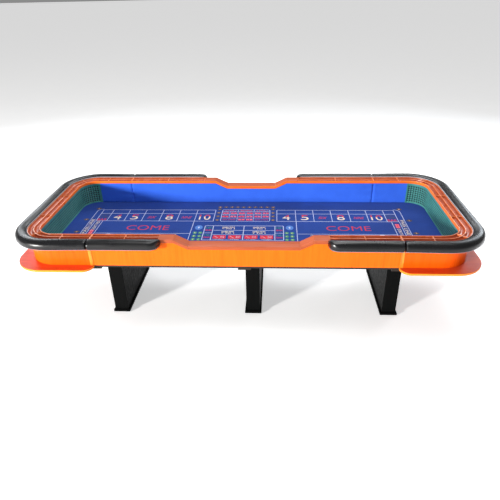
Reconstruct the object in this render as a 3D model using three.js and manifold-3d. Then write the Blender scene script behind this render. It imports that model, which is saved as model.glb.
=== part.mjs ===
// A twelve-foot craps table: three pedestals, a deck in three sections, walls with a chip rail and
// padded armrests round them, dealers' cut-outs in both long sides and a drink shelf round each end.
// Millimetres. +Z is up from the floor, X runs along the table and the dealers' side is at -Y.
// The origin is on the floor under the middle of the table's body.

import * as THREE from 'three';
import { mergeVertices } from 'three/addons/utils/BufferGeometryUtils.js';
import Module from 'manifold-3d';

const wasm = await Module();
wasm.setup();

// ---- driving sizes ----
const GAP = 0.3; // between faces that touch

const RAIL_HALF_LENGTH = 1649; // middle of the table to the end rails' inner edge
const RAIL_HALF_WIDTH = 564; // middle of the table to the long rails' inner edge
const RAIL_CORNER_R = 150; // inner edge, in plan
const SEAM_X = 1180; // where the end sections bolt to the centre section
const RAIL_TOP_Z = 890;
const RAIL_BOARD_T = 26;

const CHIP_GROOVE_R = 20; // a casino chip is 39 across
const CHIP_RIM_W = 6; // the rims and the ridge between the grooves
const DIVIDER_T = 6;
const DIVIDER_DROP = 2; // dividers end this far below the rims
const DIVIDER_FOOT_INSET = 2; // and this far above the rail's underside
const LONG_DIVIDER_SHARE = 0.737; // the long sides' last dividers, on the way from the seam to the corner
const END_DIVIDER_Y = 215; // the end sections' dividers across the ends

const FRONT_BLOCK_X = 644; // where the chip rails end, beside the cut-outs
const FRONT_SLOPE_TOP_X = 532;
const FRONT_SLOPE_FOOT_X = 425;
const REAR_BLOCK_X = 456;
const REAR_SLOPE_TOP_X = 346;
const REAR_SLOPE_FOOT_X = 233;
const CUTOUT_DROP = 55;

const ARMREST_W = 86;
const ARMREST_RISE = 21; // its crown above the rail's top
const ARMREST_SHOULDER_RISE = 7; // where the roll meets the chip rail's outer edge
const ARMREST_DROP = 60; // its underside below the rail's top
const ARMREST_LOWER_R = 28;
const ARMREST_SIDE_H = 12; // upright part of the outer face
const ARMREST_BACK_CHAMFER = 5;
const ARMREST_JOINT = 6; // open joint between two rolls
const ARMREST_END_R = 74; // rounded ends, in plan
const ARMREST_TIP_LAP = 16; // the tips reach this far past the chip rails' ends

const WALL_INSET = 1; // wall faces stand this far behind the rail's inner edge
const WALL_PAD_T = 12;
const WALL_FRAME_T = 60;
const APRON_T = 18;
const RAIL_OVERHANG = 6.4; // the rail stands out this far beyond the apron
const RUBBER_LEAD = 1; // the rubber begins this far before the corner
const SEAM_POST_W = 25;
const SEAM_POST_PROUD = 3;

const DECK_TOP_Z = 660;
const DECK_T = 18;
const DECK_SETBACK = 6; // the centre section's dark edge, behind the apron's face
const UNDERLAY_T = 4;
const CLOTH_T = 2;

const SHELF_END_OVERHANG = 91; // beyond the apron
const SHELF_SIDE_OVERHANG = 81;
const SHELF_CORNER_R = 240;
const SHELF_SEAT = 40; // the shelf's inner edge, behind the rail's inner edge

const BATTEN_W = 100;
const BATTEN_T = 22;
const BATTEN_SHELF_LAP = 36; // how far a batten's end reaches under the shelf
const BEARER_W = 60;
const BEARER_H = 50;
const BEARER_Y = 320;
const BEARER_END_SPARE = 10; // past the last batten

const PEDESTAL_SPACING = 1184;
const PEDESTAL_OFFSET = 48; // the three pedestals stand this far to the right of the body's middle
const PEDESTAL_T = 119;
const PEDESTAL_DEPTH = 720;
const PLINTH_FLARE = 13.5;
const PLINTH_H = 19;
const PLINTH_CLEARANCE = 3; // above the floor
const HEAD_FLARE = 40; // the head past the column, all round
const HEAD_T = 30;

const FOOT_R = 30;
const FOOT_RECESS_CLEARANCE = 4;
const FOOT_Y = 250;
const STEM_R = 6;
const STEM_LENGTH = 60;
const STEM_CLEARANCE = 0.3;
const FOOT_TRAVEL_SPARE = 10; // bore left above the stem

const ARC_STEPS = 7; // segments in a quarter turn of a plan corner
const GROOVE_STEPS = 10; // segments across a chip groove
const ROUND_SIDES = 24;

// ---- sizes that follow ----
const RAIL_UNDER_Z = RAIL_TOP_Z - RAIL_BOARD_T;
const ARMREST_TOP_Z = RAIL_TOP_Z + ARMREST_RISE;
const ARMREST_SHOULDER_Z = RAIL_TOP_Z + ARMREST_SHOULDER_RISE;
const ARMREST_BOTTOM_Z = RAIL_TOP_Z - ARMREST_DROP;
const WALL_TOP_Z = RAIL_UNDER_Z - GAP;
const PAD_IN = WALL_INSET;
const PAD_OUT = PAD_IN + WALL_PAD_T;
const FRAME_IN = PAD_OUT + GAP;
const FRAME_OUT = FRAME_IN + WALL_FRAME_T;
const APRON_IN = FRAME_OUT + GAP;
const APRON_OUT = APRON_IN + APRON_T;
const GROOVED_W = 3 * CHIP_RIM_W + 4 * CHIP_GROOVE_R;
const CHIP_RAIL_W = Math.max(GROOVED_W, APRON_OUT + RAIL_OVERHANG); // covers the wall and holds both grooves
const RUBBER_START_X = RAIL_HALF_LENGTH - RAIL_CORNER_R - RUBBER_LEAD;
const SEAM_POST_TOP_Z = ARMREST_BOTTOM_Z - GAP; // the armrests cover the rest
const ARMREST_IN = CHIP_RAIL_W + GAP;
const ARMREST_OUT = ARMREST_IN + ARMREST_W;
const APRON_FACE_X = RAIL_HALF_LENGTH + APRON_OUT;
const APRON_FACE_Y = RAIL_HALF_WIDTH + APRON_OUT;
const DECK_HALF_WIDTH = APRON_FACE_Y - DECK_SETBACK;
const SHELF_HALF_LENGTH = APRON_FACE_X + SHELF_END_OVERHANG;
const SHELF_HALF_WIDTH = APRON_FACE_Y + SHELF_SIDE_OVERHANG;
const END_BATTEN_X = RAIL_HALF_LENGTH + SHELF_SEAT; // under the joint of deck and shelf
const BATTEN_HALF_LENGTH = RAIL_HALF_WIDTH + SHELF_SEAT + BATTEN_SHELF_LAP;
const BEARER_HALF_LENGTH = END_BATTEN_X + BATTEN_W / 2 + BEARER_END_SPARE;
const DECK_FACE_Z = DECK_TOP_Z - GAP;
const DECK_UNDER_Z = DECK_FACE_Z - DECK_T;
const BATTEN_TOP_Z = DECK_UNDER_Z - GAP;
const BEARER_TOP_Z = BATTEN_TOP_Z - BATTEN_T - GAP;
const HEAD_TOP_Z = BEARER_TOP_Z - BEARER_H - GAP;
const COLUMN_TOP_Z = HEAD_TOP_Z - HEAD_T - GAP;
const PLINTH_TOP_Z = PLINTH_CLEARANCE + PLINTH_H;
const COLUMN_FOOT_Z = PLINTH_TOP_Z + GAP;
const UNDERLAY_TOP_Z = DECK_TOP_Z + UNDERLAY_T - GAP;
const CLOTH_FOOT_Z = DECK_TOP_Z + UNDERLAY_T;

// ---- materials ----
function standard(color, roughness, metalness = 0) {
  return new THREE.MeshStandardMaterial({ color, roughness, metalness });
}

const look = {
  apron: () => standard(0xfa8f24, 0.35),
  endApron: () => standard(0xf77a1a, 0.35),
  railWood: () => standard(0xb5562d, 0.25),
  shelf: () => standard(0xe05a2a, 0.25),
  armrest: () => standard(0x26262a, 0.45),
  felt: () => standard(0x2447b5, 0.9),
  rubber: () => standard(0x2f6f6a, 0.7),
  layout: () => standard(0x2440a0, 0.95),
  underlay: () => standard(0x2a2a2c, 0.9),
  frameWood: () => standard(0xc8a878, 0.8),
  deck: () => standard(0x3a2c24, 0.7),
  pedestal: () => standard(0x1c1d1d, 0.4),
  steel: () => standard(0x8c9094, 0.35, 0.9),
};

// ---- solids ----
function toSolid(geometry) {
  const bare = geometry.clone();
  bare.deleteAttribute('normal');
  bare.deleteAttribute('uv');
  const merged = mergeVertices(bare, 1e-4);
  const mesh = new wasm.Mesh({
    numProp: 3,
    vertProperties: new Float32Array(merged.attributes.position.array),
    triVerts: new Uint32Array(merged.index.array),
  });
  return new wasm.Manifold(mesh);
}

function fromSolid(solid) {
  const mesh = solid.getMesh();
  const geometry = new THREE.BufferGeometry();
  geometry.setAttribute('position', new THREE.BufferAttribute(new Float32Array(mesh.vertProperties), 3));
  geometry.setIndex(new THREE.BufferAttribute(new Uint32Array(mesh.triVerts), 1));
  geometry.computeVertexNormals();
  return geometry;
}

function block(x0, x1, y0, y1, z0, z1) {
  const geometry = new THREE.BoxGeometry(x1 - x0, y1 - y0, z1 - z0);
  geometry.translate((x0 + x1) / 2, (y0 + y1) / 2, (z0 + z1) / 2);
  return geometry;
}

// A cylinder on a vertical axis.
function post(x, y, radius, z0, z1) {
  const geometry = new THREE.CylinderGeometry(radius, radius, z1 - z0, ROUND_SIDES);
  geometry.rotateX(Math.PI / 2);
  geometry.translate(x, y, (z0 + z1) / 2);
  return geometry;
}

// A plan outline, extruded from z0 up to z1.
function slab(outline, z0, z1) {
  const shape = new THREE.Shape(outline);
  const geometry = new THREE.ExtrudeGeometry(shape, { depth: z1 - z0, bevelEnabled: false });
  geometry.translate(0, 0, z0);
  return geometry;
}

// ---- the round of the table, in plan ----
// Stations go clockwise seen from above, so a piece's outward side is on the left of the path.
function arcPoints(cx, cy, radius, from, to, steps = ARC_STEPS) {
  const points = [];
  for (let i = 0; i <= steps; i += 1) {
    const angle = from + ((to - from) * i) / steps;
    points.push(new THREE.Vector2(cx + radius * Math.cos(angle), cy + radius * Math.sin(angle)));
  }
  return points;
}

// The U round one end: side is -1 for the left end and +1 for the right, and the U's legs end at startX.
function endPath(side, startX, halfLength, halfWidth, cornerR) {
  const cx = halfLength - cornerR;
  const cy = halfWidth - cornerR;
  const right = [
    new THREE.Vector2(startX, halfWidth),
    ...arcPoints(cx, cy, cornerR, Math.PI / 2, 0),
    ...arcPoints(cx, -cy, cornerR, 0, -Math.PI / 2),
    new THREE.Vector2(startX, -halfWidth),
  ];
  return side > 0 ? right : right.map((p) => new THREE.Vector2(-p.x, -p.y));
}

function offsetEndPath(side, startX, offset) {
  return endPath(side, startX, RAIL_HALF_LENGTH + offset, RAIL_HALF_WIDTH + offset, RAIL_CORNER_R + offset);
}

// The plan of a wall that follows the rail between two offsets from the rail's inner edge.
function endWallOutline(side, startX, inner, outer) {
  return [...offsetEndPath(side, startX, outer), ...offsetEndPath(side, startX, inner).reverse()];
}

// A path with a station at each given point, so that straight runs take one step.
class StationPath extends THREE.Curve {
  constructor(points, tangents) {
    super();
    this.points = points;
    this.tangents = tangents;
  }

  getPointAt(u) {
    return this.points[Math.round(u * (this.points.length - 1))].clone();
  }

  getTangentAt(u) {
    return this.tangents[Math.round(u * (this.points.length - 1))].clone();
  }
}

// Stations and true tangents along the rail's inner edge round one end.
function endStations(side, startX) {
  const cx = RAIL_HALF_LENGTH - RAIL_CORNER_R;
  const cy = RAIL_HALF_WIDTH - RAIL_CORNER_R;
  const points = [new THREE.Vector3(startX, RAIL_HALF_WIDTH, 0)];
  const tangents = [new THREE.Vector3(1, 0, 0)];
  for (const [centreY, from] of [[cy, Math.PI / 2], [-cy, 0]]) {
    for (let i = 0; i <= ARC_STEPS; i += 1) {
      const angle = from - ((Math.PI / 2) * i) / ARC_STEPS;
      const outward = new THREE.Vector3(Math.cos(angle), Math.sin(angle), 0);
      points.push(outward.clone().multiplyScalar(RAIL_CORNER_R).add(new THREE.Vector3(cx, centreY, 0)));
      tangents.push(new THREE.Vector3(outward.y, -outward.x, 0));
    }
  }
  points.push(new THREE.Vector3(startX, -RAIL_HALF_WIDTH, 0));
  tangents.push(new THREE.Vector3(-1, 0, 0));
  if (side < 0) {
    for (const v of [...points, ...tangents]) v.multiplyScalar(-1);
  }
  return new StationPath(points, tangents);
}

// A straight run along a long side, from x0 to x1; side is -1 for the front and +1 for the rear.
function straightStations(side, x0, x1) {
  const [from, to] = side > 0 ? [x0, x1] : [x1, x0];
  const y = side * RAIL_HALF_WIDTH;
  const tangent = new THREE.Vector3(side, 0, 0);
  const points = [new THREE.Vector3(from, y, 0), new THREE.Vector3(to, y, 0)];
  return new StationPath(points, [tangent, tangent.clone()]);
}

// Sweeps a section along a path. Section points are (outward offset, height).
function sweep(section, path) {
  const shape = new THREE.Shape(section.map((p) => new THREE.Vector2(-p.y, p.x)));
  return new THREE.ExtrudeGeometry(shape, {
    steps: path.points.length - 1,
    bevelEnabled: false,
    extrudePath: path,
  });
}

// ---- sections ----
function chipRailSection() {
  const points = [new THREE.Vector2(0, RAIL_UNDER_Z), new THREE.Vector2(0, RAIL_TOP_Z)];
  for (let groove = 0; groove < 2; groove += 1) {
    const centre = CHIP_RIM_W + CHIP_GROOVE_R + groove * (2 * CHIP_GROOVE_R + CHIP_RIM_W);
    points.push(...arcPoints(centre, RAIL_TOP_Z, CHIP_GROOVE_R, Math.PI, 2 * Math.PI, GROOVE_STEPS));
  }
  points.push(new THREE.Vector2(CHIP_RAIL_W, RAIL_TOP_Z), new THREE.Vector2(CHIP_RAIL_W, RAIL_UNDER_Z));
  return points;
}

// A roll that laps under the rail against the apron and stands above the rail's outer edge.
function armrestSection() {
  const backS = APRON_OUT + GAP;
  const crownS = (ARMREST_IN + ARMREST_OUT) / 2;
  const crown = (ARMREST_OUT - ARMREST_IN) / 2;
  const outerTopZ = ARMREST_BOTTOM_Z + ARMREST_LOWER_R + ARMREST_SIDE_H;
  const points = [
    new THREE.Vector2(backS, ARMREST_BOTTOM_Z + ARMREST_BACK_CHAMFER),
    new THREE.Vector2(backS + ARMREST_BACK_CHAMFER, ARMREST_BOTTOM_Z),
    ...arcPoints(ARMREST_OUT - ARMREST_LOWER_R, ARMREST_BOTTOM_Z + ARMREST_LOWER_R, ARMREST_LOWER_R,
      -Math.PI / 2, 0, 4),
  ];
  for (let i = 0; i <= 5; i += 1) {
    const angle = ((Math.PI / 2) * i) / 5;
    const rise = (ARMREST_TOP_Z - outerTopZ) * Math.sin(angle);
    points.push(new THREE.Vector2(crownS + crown * Math.cos(angle), outerTopZ + rise));
  }
  for (let i = 1; i <= 3; i += 1) {
    const angle = ((Math.PI / 2) * i) / 3;
    const fall = (ARMREST_TOP_Z - ARMREST_SHOULDER_Z) * (1 - Math.cos(angle));
    points.push(new THREE.Vector2(crownS - crown * Math.sin(angle), ARMREST_TOP_Z - fall));
  }
  points.push(new THREE.Vector2(ARMREST_IN, WALL_TOP_Z), new THREE.Vector2(backS, WALL_TOP_Z));
  return points;
}

// The height line over a cut-out: level, slope, low level, slope, level.
function cutoutLine(halfLength, slopeTopX, slopeFootX, topZ) {
  const lowZ = topZ - CUTOUT_DROP;
  return [
    new THREE.Vector2(-halfLength, topZ),
    new THREE.Vector2(-slopeTopX, topZ),
    new THREE.Vector2(-slopeFootX, lowZ),
    new THREE.Vector2(slopeFootX, lowZ),
    new THREE.Vector2(slopeTopX, topZ),
    new THREE.Vector2(halfLength, topZ),
  ];
}

// A board standing along a long side, drawn in X and Z, between two offsets from the rail's inner edge.
function longBoard(side, outline, inner, outer) {
  const geometry = new THREE.ExtrudeGeometry(new THREE.Shape(outline), {
    depth: outer - inner,
    bevelEnabled: false,
  });
  geometry.rotateX(Math.PI / 2);
  geometry.translate(0, side > 0 ? RAIL_HALF_WIDTH + outer : -RAIL_HALF_WIDTH - inner, 0);
  return geometry;
}

const sides = [
  {
    name: 'front',
    sign: -1,
    blockX: FRONT_BLOCK_X,
    slopeTopX: FRONT_SLOPE_TOP_X,
    slopeFootX: FRONT_SLOPE_FOOT_X,
    armrestX: FRONT_BLOCK_X - ARMREST_TIP_LAP,
  },
  {
    name: 'rear',
    sign: 1,
    blockX: REAR_BLOCK_X,
    slopeTopX: REAR_SLOPE_TOP_X,
    slopeFootX: REAR_SLOPE_FOOT_X,
    armrestX: REAR_BLOCK_X - ARMREST_TIP_LAP,
  },
];
const ends = [
  { name: 'left', sign: -1 },
  { name: 'right', sign: 1 },
];

const table = new THREE.Group();

function add(name, geometry, material, parent = table) {
  const mesh = new THREE.Mesh(geometry, material);
  mesh.name = name;
  parent.add(mesh);
  return mesh;
}

// ---- pedestals and their levelling feet ----
function stemBores(x) {
  const top = COLUMN_FOOT_Z + STEM_LENGTH + FOOT_TRAVEL_SPARE;
  return [-FOOT_Y, FOOT_Y].map((y) => post(x, y, STEM_R + STEM_CLEARANCE, COLUMN_FOOT_Z - 1, top));
}

function cut(geometry, tools) {
  let solid = toSolid(geometry);
  for (const tool of tools) solid = solid.subtract(toSolid(tool));
  return fromSolid(solid);
}

function levellingFoot(x, y) {
  const pad = toSolid(post(x, y, FOOT_R, 0, PLINTH_TOP_Z));
  const stem = toSolid(post(x, y, STEM_R, PLINTH_TOP_Z - 1, PLINTH_TOP_Z + STEM_LENGTH));
  return fromSolid(pad.add(stem));
}

const pedestals = [
  { name: 'left', x: PEDESTAL_OFFSET - PEDESTAL_SPACING },
  { name: 'centre', x: PEDESTAL_OFFSET },
  { name: 'right', x: PEDESTAL_OFFSET + PEDESTAL_SPACING },
];
for (const { name, x } of pedestals) {
  const halfT = PEDESTAL_T / 2;
  const halfDepth = PEDESTAL_DEPTH / 2;
  const plinthX = halfT + PLINTH_FLARE;
  const plinthY = halfDepth + PLINTH_FLARE;
  const recesses = [-FOOT_Y, FOOT_Y].map((y) => (
    post(x, y, FOOT_R + FOOT_RECESS_CLEARANCE, PLINTH_CLEARANCE - 1, PLINTH_TOP_Z + 1)
  ));
  const plinth = block(x - plinthX, x + plinthX, -plinthY, plinthY, PLINTH_CLEARANCE, PLINTH_TOP_Z);
  const column = block(x - halfT, x + halfT, -halfDepth, halfDepth, COLUMN_FOOT_Z, COLUMN_TOP_Z);
  const headX = halfT + HEAD_FLARE;
  const headY = halfDepth + HEAD_FLARE;
  const head = block(x - headX, x + headX, -headY, headY, HEAD_TOP_Z - HEAD_T, HEAD_TOP_Z);
  add(`pedestal_plinth_${name}`, cut(plinth, recesses), look.pedestal());
  add(`pedestal_column_${name}`, cut(column, stemBores(x)), look.pedestal());
  add(`pedestal_head_${name}`, head, look.frameWood());
  add(`levelling_foot_${name}_front`, levellingFoot(x, -FOOT_Y), look.steel());
  add(`levelling_foot_${name}_rear`, levellingFoot(x, FOOT_Y), look.steel());
}

// ---- bearers, cross battens and deck ----
for (const { name, sign } of sides) {
  const y = sign * BEARER_Y;
  const bearer = block(-BEARER_HALF_LENGTH, BEARER_HALF_LENGTH, y - BEARER_W / 2, y + BEARER_W / 2,
    BEARER_TOP_Z - BEARER_H, BEARER_TOP_Z);
  add(`bearer_${name}`, bearer, look.frameWood());
}

const battens = [
  ['left_end', -END_BATTEN_X],
  ['left_seam', -SEAM_X],
  ['middle', 0],
  ['right_seam', SEAM_X],
  ['right_end', END_BATTEN_X],
];
for (const [name, x] of battens) {
  const batten = block(x - BATTEN_W / 2, x + BATTEN_W / 2, -BATTEN_HALF_LENGTH, BATTEN_HALF_LENGTH,
    BATTEN_TOP_Z - BATTEN_T, BATTEN_TOP_Z);
  add(`cross_batten_${name}`, batten, look.frameWood());
}

const seamEdge = SEAM_X + GAP / 2; // where the end sections start
const centreEdge = SEAM_X - GAP / 2; // where the centre section ends
const centreDeck = block(-centreEdge, centreEdge, -DECK_HALF_WIDTH, DECK_HALF_WIDTH, DECK_UNDER_Z, DECK_FACE_Z);
add('deck_centre', centreDeck, look.deck());
for (const { name, sign } of ends) {
  const outline = offsetEndPath(sign, seamEdge, SHELF_SEAT - GAP);
  add(`deck_${name}`, slab(outline, DECK_UNDER_Z, DECK_FACE_Z), look.deck());
}

// ---- drink shelves ----
// The outer edge curves back to the apron beside each seam.
function shelfOutline(sign) {
  const returnX = seamEdge + SHELF_SIDE_OVERHANG;
  const cx = SHELF_HALF_LENGTH - SHELF_CORNER_R;
  const cy = SHELF_HALF_WIDTH - SHELF_CORNER_R;
  const outer = [
    ...arcPoints(returnX, APRON_FACE_Y, SHELF_SIDE_OVERHANG, Math.PI, Math.PI / 2),
    ...arcPoints(cx, cy, SHELF_CORNER_R, Math.PI / 2, 0),
    ...arcPoints(cx, -cy, SHELF_CORNER_R, 0, -Math.PI / 2),
    ...arcPoints(returnX, -APRON_FACE_Y, SHELF_SIDE_OVERHANG, -Math.PI / 2, -Math.PI),
  ];
  const inner = offsetEndPath(1, seamEdge, SHELF_SEAT).reverse();
  const outline = [...outer, ...inner];
  return sign > 0 ? outline : outline.map((p) => new THREE.Vector2(-p.x, -p.y));
}
for (const { name, sign } of ends) {
  add(`drink_shelf_${name}`, slab(shelfOutline(sign), DECK_UNDER_Z, DECK_FACE_Z), look.shelf());
}

// ---- playing surface ----
function pitOutline(clearance) {
  const offset = WALL_INSET - clearance;
  return [...offsetEndPath(1, 0, offset), ...offsetEndPath(-1, 0, offset)];
}
add('layout_underlay', slab(pitOutline(GAP), DECK_TOP_Z, UNDERLAY_TOP_Z), look.underlay());
add('layout_cloth', slab(pitOutline(GAP), CLOTH_FOOT_Z, CLOTH_FOOT_Z + CLOTH_T), look.layout());

// ---- walls ----
function longWallOutline(side, halfLength) {
  const top = cutoutLine(halfLength, side.slopeTopX, side.slopeFootX, WALL_TOP_Z);
  return [...top, new THREE.Vector2(halfLength, DECK_TOP_Z), new THREE.Vector2(-halfLength, DECK_TOP_Z)];
}
for (const side of sides) {
  const { name, sign } = side;
  const section = longWallOutline(side, centreEdge);
  const padding = longWallOutline(side, RUBBER_START_X - GAP / 2);
  add(`wall_frame_${name}`, longBoard(sign, section, FRAME_IN, FRAME_OUT), look.frameWood());
  add(`apron_${name}`, longBoard(sign, section, APRON_IN, APRON_OUT), look.apron());
  add(`felt_wall_${name}`, longBoard(sign, padding, PAD_IN, PAD_OUT), look.felt());
}
for (const { name, sign } of ends) {
  const frame = slab(endWallOutline(sign, seamEdge, FRAME_IN, FRAME_OUT), DECK_TOP_Z, WALL_TOP_Z);
  const apronStart = seamEdge + SEAM_POST_W + GAP;
  const apron = slab(endWallOutline(sign, apronStart, APRON_IN, APRON_OUT), DECK_TOP_Z, WALL_TOP_Z);
  const rubberStart = RUBBER_START_X + GAP / 2;
  const rubber = slab(endWallOutline(sign, rubberStart, PAD_IN, PAD_OUT), DECK_TOP_Z, WALL_TOP_Z);
  add(`wall_frame_${name}_end`, frame, look.frameWood());
  add(`apron_${name}_end`, apron, look.endApron());
  add(`rubber_wall_${name}`, rubber, look.rubber());
  for (const side of sides) {
    const x0 = Math.min(sign * seamEdge, sign * (seamEdge + SEAM_POST_W));
    const y0 = side.sign * (RAIL_HALF_WIDTH + APRON_IN);
    const y1 = side.sign * (APRON_FACE_Y + SEAM_POST_PROUD);
    const [yLow, yHigh] = [Math.min(y0, y1), Math.max(y0, y1)];
    const seamPost = block(x0, x0 + SEAM_POST_W, yLow, yHigh, DECK_TOP_Z, SEAM_POST_TOP_Z);
    add(`seam_post_${side.name}_${name}`, seamPost, look.apron());
  }
}

// ---- chip rails ----
// A divider across both grooves, standing on the rail's inner edge at (x, y) and turned to face outward.
function divider(x, y, outwardAngle) {
  const length = CHIP_RAIL_W - CHIP_RIM_W;
  const height = RAIL_BOARD_T - DIVIDER_DROP - DIVIDER_FOOT_INSET;
  const geometry = new THREE.BoxGeometry(length, DIVIDER_T, height);
  geometry.translate(CHIP_RAIL_W / 2, 0, RAIL_TOP_Z - DIVIDER_DROP - height / 2);
  geometry.rotateZ(outwardAngle);
  geometry.translate(x, y, 0);
  return geometry;
}

function joined(geometry, additions) {
  let solid = toSolid(geometry);
  for (const addition of additions) solid = solid.add(toSolid(addition));
  return fromSolid(solid);
}

for (const { name, sign } of ends) {
  const facing = sign > 0 ? 0 : Math.PI;
  const cornerX = RAIL_HALF_LENGTH - RAIL_CORNER_R * (1 - Math.SQRT1_2);
  const cornerY = RAIL_HALF_WIDTH - RAIL_CORNER_R * (1 - Math.SQRT1_2);
  const cornerStartX = RAIL_HALF_LENGTH - RAIL_CORNER_R;
  const longDividerX = seamEdge + LONG_DIVIDER_SHARE * (cornerStartX - seamEdge);
  const dividers = [];
  for (const rear of [-1, 1]) {
    const across = rear * Math.PI / 2;
    for (const x of [seamEdge + DIVIDER_T / 2, longDividerX]) {
      dividers.push(divider(sign * x, rear * RAIL_HALF_WIDTH, across));
    }
    dividers.push(divider(sign * cornerX, rear * cornerY, Math.atan2(rear, sign)));
    dividers.push(divider(sign * RAIL_HALF_LENGTH, rear * END_DIVIDER_Y, facing));
  }
  const rail = sweep(chipRailSection(), endStations(sign, seamEdge));
  add(`chip_rail_${name}_end`, joined(rail, dividers), look.railWood());
}
for (const side of sides) {
  for (const { name, sign } of ends) {
    const x0 = side.blockX + GAP / 2;
    const run = [sign * x0, sign * centreEdge].sort((a, b) => a - b);
    const rail = sweep(chipRailSection(), straightStations(side.sign, run[0], run[1]));
    const stops = [x0 + DIVIDER_T / 2, (x0 + centreEdge) / 2, centreEdge - DIVIDER_T / 2];
    const dividers = stops.map((x) => (
      divider(sign * x, side.sign * RAIL_HALF_WIDTH, (side.sign * Math.PI) / 2)
    ));
    add(`chip_rail_${side.name}_${name}`, joined(rail, dividers), look.railWood());
  }
}

// ---- drop rails round the dealers' cut-outs ----
for (const side of sides) {
  const halfLength = side.blockX - GAP / 2;
  const top = cutoutLine(halfLength, side.slopeTopX, side.slopeFootX, RAIL_TOP_Z);
  const under = cutoutLine(halfLength, side.slopeTopX, side.slopeFootX, RAIL_UNDER_Z).reverse();
  add(`drop_rail_${side.name}`, longBoard(side.sign, [...top, ...under], 0, CHIP_RAIL_W), look.railWood());
}

// ---- armrests ----
function armrestPlan(side, x0, x1) {
  const inner = APRON_FACE_Y - 1;
  const outer = RAIL_HALF_WIDTH + ARMREST_OUT + 1;
  const rounded = arcPoints(x0 + ARMREST_END_R, outer - ARMREST_END_R, ARMREST_END_R, Math.PI, Math.PI / 2);
  const outline = [
    new THREE.Vector2(x0, inner),
    ...rounded,
    new THREE.Vector2(x1, outer),
    new THREE.Vector2(x1, inner),
  ];
  return (mirrorX) => outline.map((p) => new THREE.Vector2(p.x * mirrorX, p.y * side.sign));
}

for (const { name, sign } of ends) {
  const roll = sweep(armrestSection(), endStations(sign, SEAM_X + ARMREST_JOINT / 2));
  add(`armrest_${name}_end`, roll, look.armrest());
}
for (const side of sides) {
  for (const { name, sign } of ends) {
    const jointX = SEAM_X - ARMREST_JOINT / 2;
    const run = [sign * side.armrestX, sign * jointX].sort((a, b) => a - b);
    const roll = toSolid(sweep(armrestSection(), straightStations(side.sign, run[0], run[1])));
    const plan = armrestPlan(side, side.armrestX - 1, jointX + 1)(sign);
    const rounded = roll.intersect(toSolid(slab(plan, ARMREST_BOTTOM_Z - 1, ARMREST_TOP_Z + 1)));
    add(`armrest_${side.name}_${name}`, fromSolid(rounded), look.armrest());
  }
}

export default table;
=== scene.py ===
"""Looks of a twelve-foot craps table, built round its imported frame. Metres, +Z up, the front at -Y."""
from math import atan2, ceil, copysign, cos, exp, hypot, pi, radians, sin, sqrt, tan
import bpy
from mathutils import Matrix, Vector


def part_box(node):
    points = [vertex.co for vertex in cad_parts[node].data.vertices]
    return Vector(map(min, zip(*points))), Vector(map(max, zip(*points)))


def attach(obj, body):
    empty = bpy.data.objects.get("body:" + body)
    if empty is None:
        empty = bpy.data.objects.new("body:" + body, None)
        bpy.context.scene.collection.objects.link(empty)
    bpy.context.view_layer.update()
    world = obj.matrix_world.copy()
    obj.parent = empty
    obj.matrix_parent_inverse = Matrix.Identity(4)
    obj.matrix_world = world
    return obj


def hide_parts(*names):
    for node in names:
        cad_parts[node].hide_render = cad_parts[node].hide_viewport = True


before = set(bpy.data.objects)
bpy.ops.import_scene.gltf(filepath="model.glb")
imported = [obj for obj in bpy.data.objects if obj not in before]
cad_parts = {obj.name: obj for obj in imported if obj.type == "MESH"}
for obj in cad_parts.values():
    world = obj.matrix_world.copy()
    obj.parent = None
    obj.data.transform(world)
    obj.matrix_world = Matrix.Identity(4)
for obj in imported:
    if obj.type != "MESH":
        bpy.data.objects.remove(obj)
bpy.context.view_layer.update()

from types import SimpleNamespace

import bmesh
import bpy
import numpy as np
from mathutils import Matrix, Vector, noise

BODY = "table"


# ---- sizes, from the frame ----
def low(node):
    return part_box(node)[0]


def high(node):
    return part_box(node)[1]


RAIL_W = high("chip_rail_front_right").y - low("chip_rail_front_right").y
HALF_W = -high("chip_rail_front_right").y  # to the long rails' inner edge
HALF_L = high("chip_rail_right_end").x - RAIL_W  # to the end rails' inner edge
RAIL_TOP = high("chip_rail_front_right").z
RAIL_UNDER = low("chip_rail_front_right").z
SEAM_X = (low("chip_rail_right_end").x + high("chip_rail_front_right").x) / 2
WALL_FOOT = low("apron_front").z
WALL_TOP = high("apron_front").z
APRON_FACE_Y = high("apron_rear").y
APRON_OUT = APRON_FACE_Y - HALF_W
APRON_IN = low("apron_rear").y - HALF_W
PAD_IN = low("felt_wall_rear").y - HALF_W
PAD_OUT = high("felt_wall_rear").y - HALF_W
ARMREST_OUT = high("armrest_rear_right").y - HALF_W
ARMREST_IN = APRON_OUT + 0.0003
ARMREST_TOP = high("armrest_rear_right").z
ARMREST_FOOT = low("armrest_rear_right").z
CLOTH_TOP = high("layout_cloth").z
CLOTH_FOOT = low("layout_cloth").z
SHELF_TOP = high("drink_shelf_right").z
SHELF_FOOT = low("drink_shelf_right").z

# Sizes that the frame's boxes don't give.
CORNER_R = 0.150  # the rail's inner edge, in plan
SHELF_CORNER_R = 0.240
SHELF_SEAT = 0.040
GROOVE_R = 0.020
RIM_W = 0.006
DIVIDER_T = 0.006
DIVIDER_DROP = 0.002
DIVIDER_LIFT = 0.004  # its foot, above the rail's underside
LONG_DIVIDER_X = 1.415
END_DIVIDER_Y = 0.215
GAP = 0.0003

CUTOUTS = {  # where each side's rail steps down: block, top of the slope, foot of the slope
    "front": (0.644, 0.532, 0.425),
    "rear": (0.456, 0.346, 0.233),
}
CUTOUT_DROP = 0.055
SIDES = {"front": -1, "rear": 1}
ENDS = {"left": -1, "right": 1}


# ---- materials ----
def srgb(red, green, blue):
    """A display colour, 0 to 255, as a linear one."""
    def linear(value):
        value /= 255
        return value / 12.92 if value <= 0.04045 else ((value + 0.055) / 1.055) ** 2.4
    return (linear(red), linear(green), linear(blue), 1)


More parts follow.
